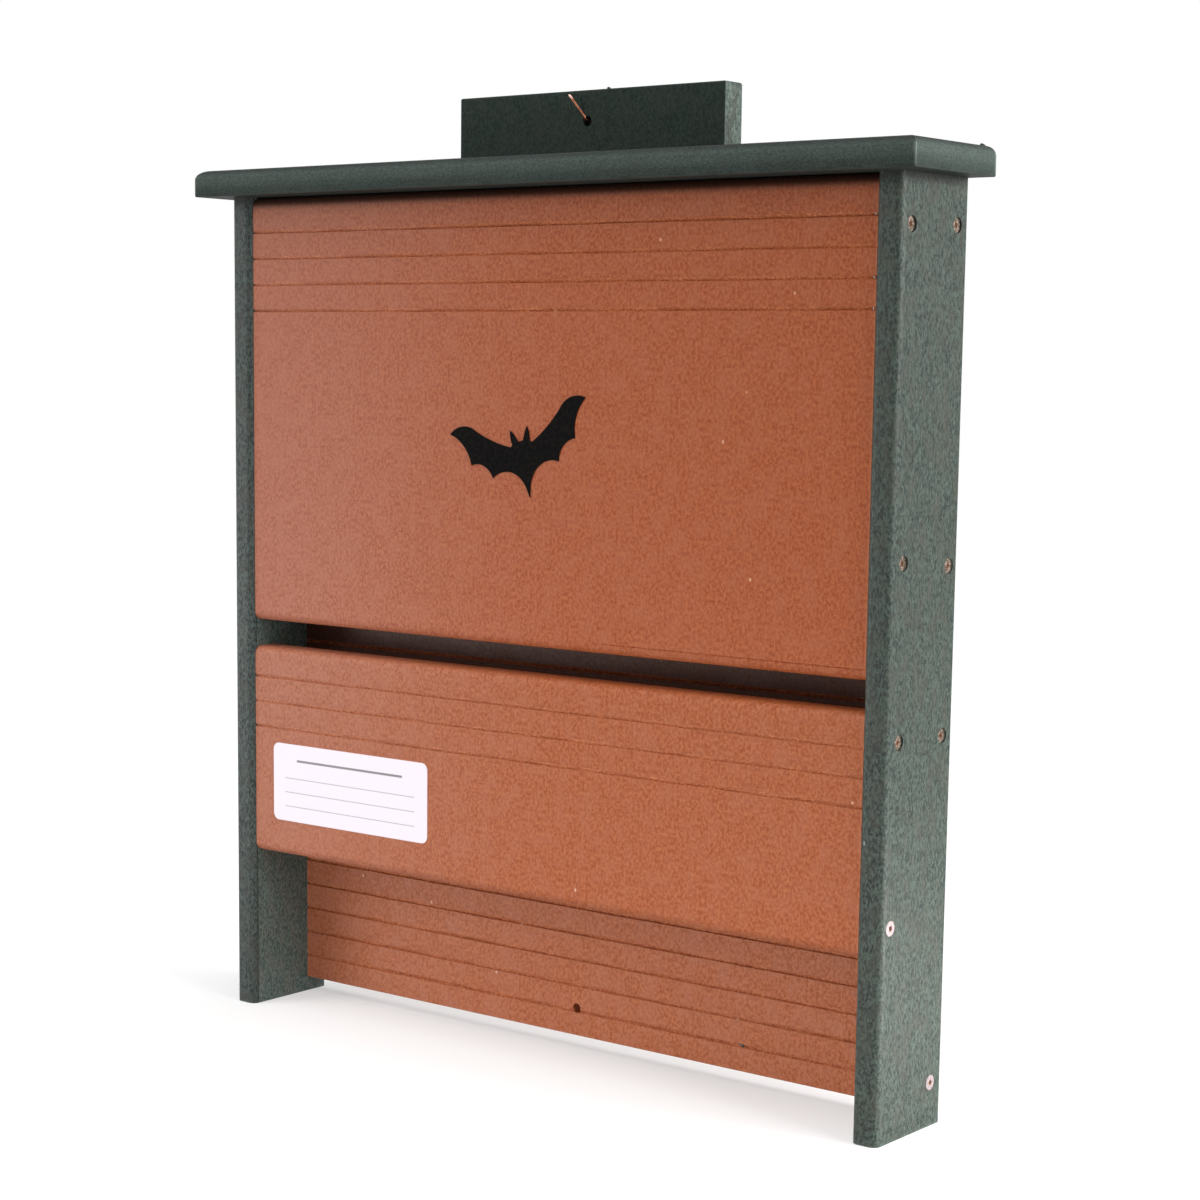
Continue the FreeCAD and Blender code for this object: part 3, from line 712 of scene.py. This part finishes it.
# Painted highlight: the tip is blended to a pale copper.
tree.links.new(blend(tree, soft_step(tree, height, 0.4402, 0.4418), tarnished, (0.85, 0.55, 0.48, 1)),
               shader["Base Color"])
tree.links.new(ramp(tree, worn, 0.0, 1.0, 0.3, 0.55), shader["Roughness"])
mouth, tip = Vector((-0.0006, 0.0187, 0.4314)), Vector((-0.0075, 0.014, 0.4426))
wire_radius, bend_radius = 0.0006, 0.0018
in_hole, straight, leaning, end_length, end_share = 0.009, 0.0105, 0.0118, 0.0005, 0.6
clear_selection()
bpy.ops.mesh.primitive_circle_add(vertices=16, radius=wire_radius, fill_type="NGON",
                                  location=mouth + Vector((0, in_hole, 0)), rotation=(math.radians(90), 0, 0))
pin = bpy.context.object
pin.name = "copper_pin"
bpy.ops.object.transform_apply(location=True, rotation=True)
lean = tip - mouth
turn = math.acos(-lean.normalized().y)
outward = Vector((lean.x, 0, lean.z)).normalized()
hinge = outward.cross(Vector((0, -1, 0)))
open_piece(pin)
bpy.ops.mesh.select_all(action="SELECT")
bpy.ops.mesh.extrude_region_move(TRANSFORM_OT_translate={"value": (0, -straight, 0)})
bend = mouth + Vector((0, in_hole - straight, 0)) + outward * bend_radius
bpy.ops.mesh.spin(steps=6, angle=-turn, center=bend, axis=hinge)
for length in (leaning, end_length):
    bpy.ops.mesh.extrude_region_move(TRANSFORM_OT_translate={"value": lean.normalized() * length})
bpy.ops.transform.resize(value=(end_share, end_share, end_share))
bpy.ops.mesh.select_all(action="SELECT")
bpy.ops.mesh.normals_make_consistent(inside=False)
close_piece()
dress(pin, finishes=[copper])

# Floor: a wide sheet of white studio paper. The camera sees it burn out to white some way from
# the box, and it keeps a faint soft shadow under it.


def seen_directly(tree):
    """1 for rays from the camera, from reflections and through glass, and 0 for those that light."""
    rays = step(tree, "LightPath").outputs
    seen = sum_of(tree, "MAXIMUM", rays["Is Camera Ray"], rays["Is Glossy Ray"])
    return sum_of(tree, "MAXIMUM", seen, rays["Is Transmission Ray"])


clear_selection()
bpy.ops.mesh.primitive_plane_add(size=12, location=(0, 0, -0.0002))
floor = bpy.context.object
floor.name = "studio_paper"
bpy.ops.object.transform_apply(location=True)
sweep, tree, shader, place = new_finish("white_sweep")
shader["Roughness"].default_value = 0.9
shader["Specular IOR Level"].default_value = 0.0
far = step(tree, "VectorMath", {0: place}, operation="LENGTH").outputs["Value"]
tree.links.new(blend(tree, soft_step(tree, far, 0.22, 0.7), (0.60, 0.60, 0.60, 1), (0.12, 0.12, 0.12, 1)),
               shader["Base Color"])
level = sum_of(tree, "MULTIPLY", ramp(tree, far, 0.2, 0.6, 0.45, 1.0), seen_directly(tree))
glow = step(tree, "Emission", {"Strength": level})
both = step(tree, "AddShader", {0: tree.nodes["Principled BSDF"].outputs[0], 1: glow.outputs[0]})
tree.links.new(both.outputs[0], tree.nodes["Material Output"].inputs["Surface"])
floor.data.materials.append(sweep)
floor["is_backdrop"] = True

# Studio: white all round to the eye and in reflections, and otherwise a dim room, lighter behind
# the box and on its left. Large soft lamps stand at the front left, overhead and on the right, and
# small ones fill in low down.
world = bpy.data.worlds.new("studio")
bpy.context.scene.world = world
world.use_nodes = True
tree = world.node_tree
way = step(tree, "SeparateXYZ", {0: step(tree, "TexCoord").outputs["Generated"]}).outputs
behind = ramp(tree, way[1], 0.0, 1.0, 0.08, 0.3)
left = ramp(tree, way[0], 0.0, -1.0, 0.0, 0.1)
room = sum_of(tree, "ADD", behind, left)
background = tree.nodes["Background"].inputs
strength = step(tree, "Mix", {0: seen_directly(tree), 2: room, 3: 1.0}).outputs[0]
tree.links.new(strength, background["Strength"])
background["Color"].default_value = (1, 1, 1, 1)


def soft_lamp(place, target, width, height, power):
    bpy.ops.object.light_add(type="AREA", location=place)
    lamp = bpy.context.object
    lamp.data.shape = "RECTANGLE"
    lamp.data.size = width
    lamp.data.size_y = height
    lamp.data.energy = power
    lamp.visible_camera = False
    lamp.rotation_euler = (Vector(target) - lamp.location).to_track_quat("-Z", "Y").to_euler()


# In turn: front left, overhead, low on the left, right, at the foot of the right side, over the
# floor behind it, and a strip in front of the back board's foot
soft_lamp((-1.0, -1.1, 0.95), (0, 0, 0.25), 0.8, 0.6, 8.5)
soft_lamp((0, -0.5, 1.8), (0, -0.3, 0), 1.5, 1.5, 20)
soft_lamp((-0.8, -0.5, 0.12), (-0.15, 0, 0.1), 0.5, 0.2, 2.0)
soft_lamp((1.6, -0.1, 0.5), (0.19, 0, 0.2), 0.8, 0.8, 24)
soft_lamp((0.36, 0.05, 0.04), (0.19, 0.01, 0.03), 0.12, 0.06, 0.47)
soft_lamp((0.75, 0.25, 0.5), (0.32, 0.1, 0), 0.25, 0.25, 3.0)
soft_lamp((0.05, -0.4, 0.025), (0, 0, 0.03), 0.5, 0.06, 0.6)

# Camera: level with the upper part of the box and to its right, dipped and rolled a little, with
# a long shifted lens, as in the photograph. Lengths in its picture are in pixels.
picture, focal_length, horizon = 1200, 2543.17, 717.39
azimuth, dip, roll = math.radians(38.08), math.radians(7.943), math.radians(0.745)
aim = Vector((-math.sin(azimuth) * math.cos(dip), math.cos(azimuth) * math.cos(dip), -math.sin(dip)))
eye = (0.73029, -0.89830, 0.32306)
bpy.ops.object.camera_add(location=eye)
camera = bpy.context.object
turn = aim.to_track_quat("-Z", "Y").to_matrix().to_4x4() @ Matrix.Rotation(roll, 4, "Z")
camera.matrix_world = Matrix.Translation(eye) @ turn
sensor = 36
camera.data.sensor_width = sensor
camera.data.lens = sensor * focal_length / picture
camera.data.shift_y = (horizon - picture / 2) / picture
camera.data.clip_start = 0.01
bpy.context.scene.camera = camera
bpy.context.scene.view_settings.view_transform = "Standard"

low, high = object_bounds()
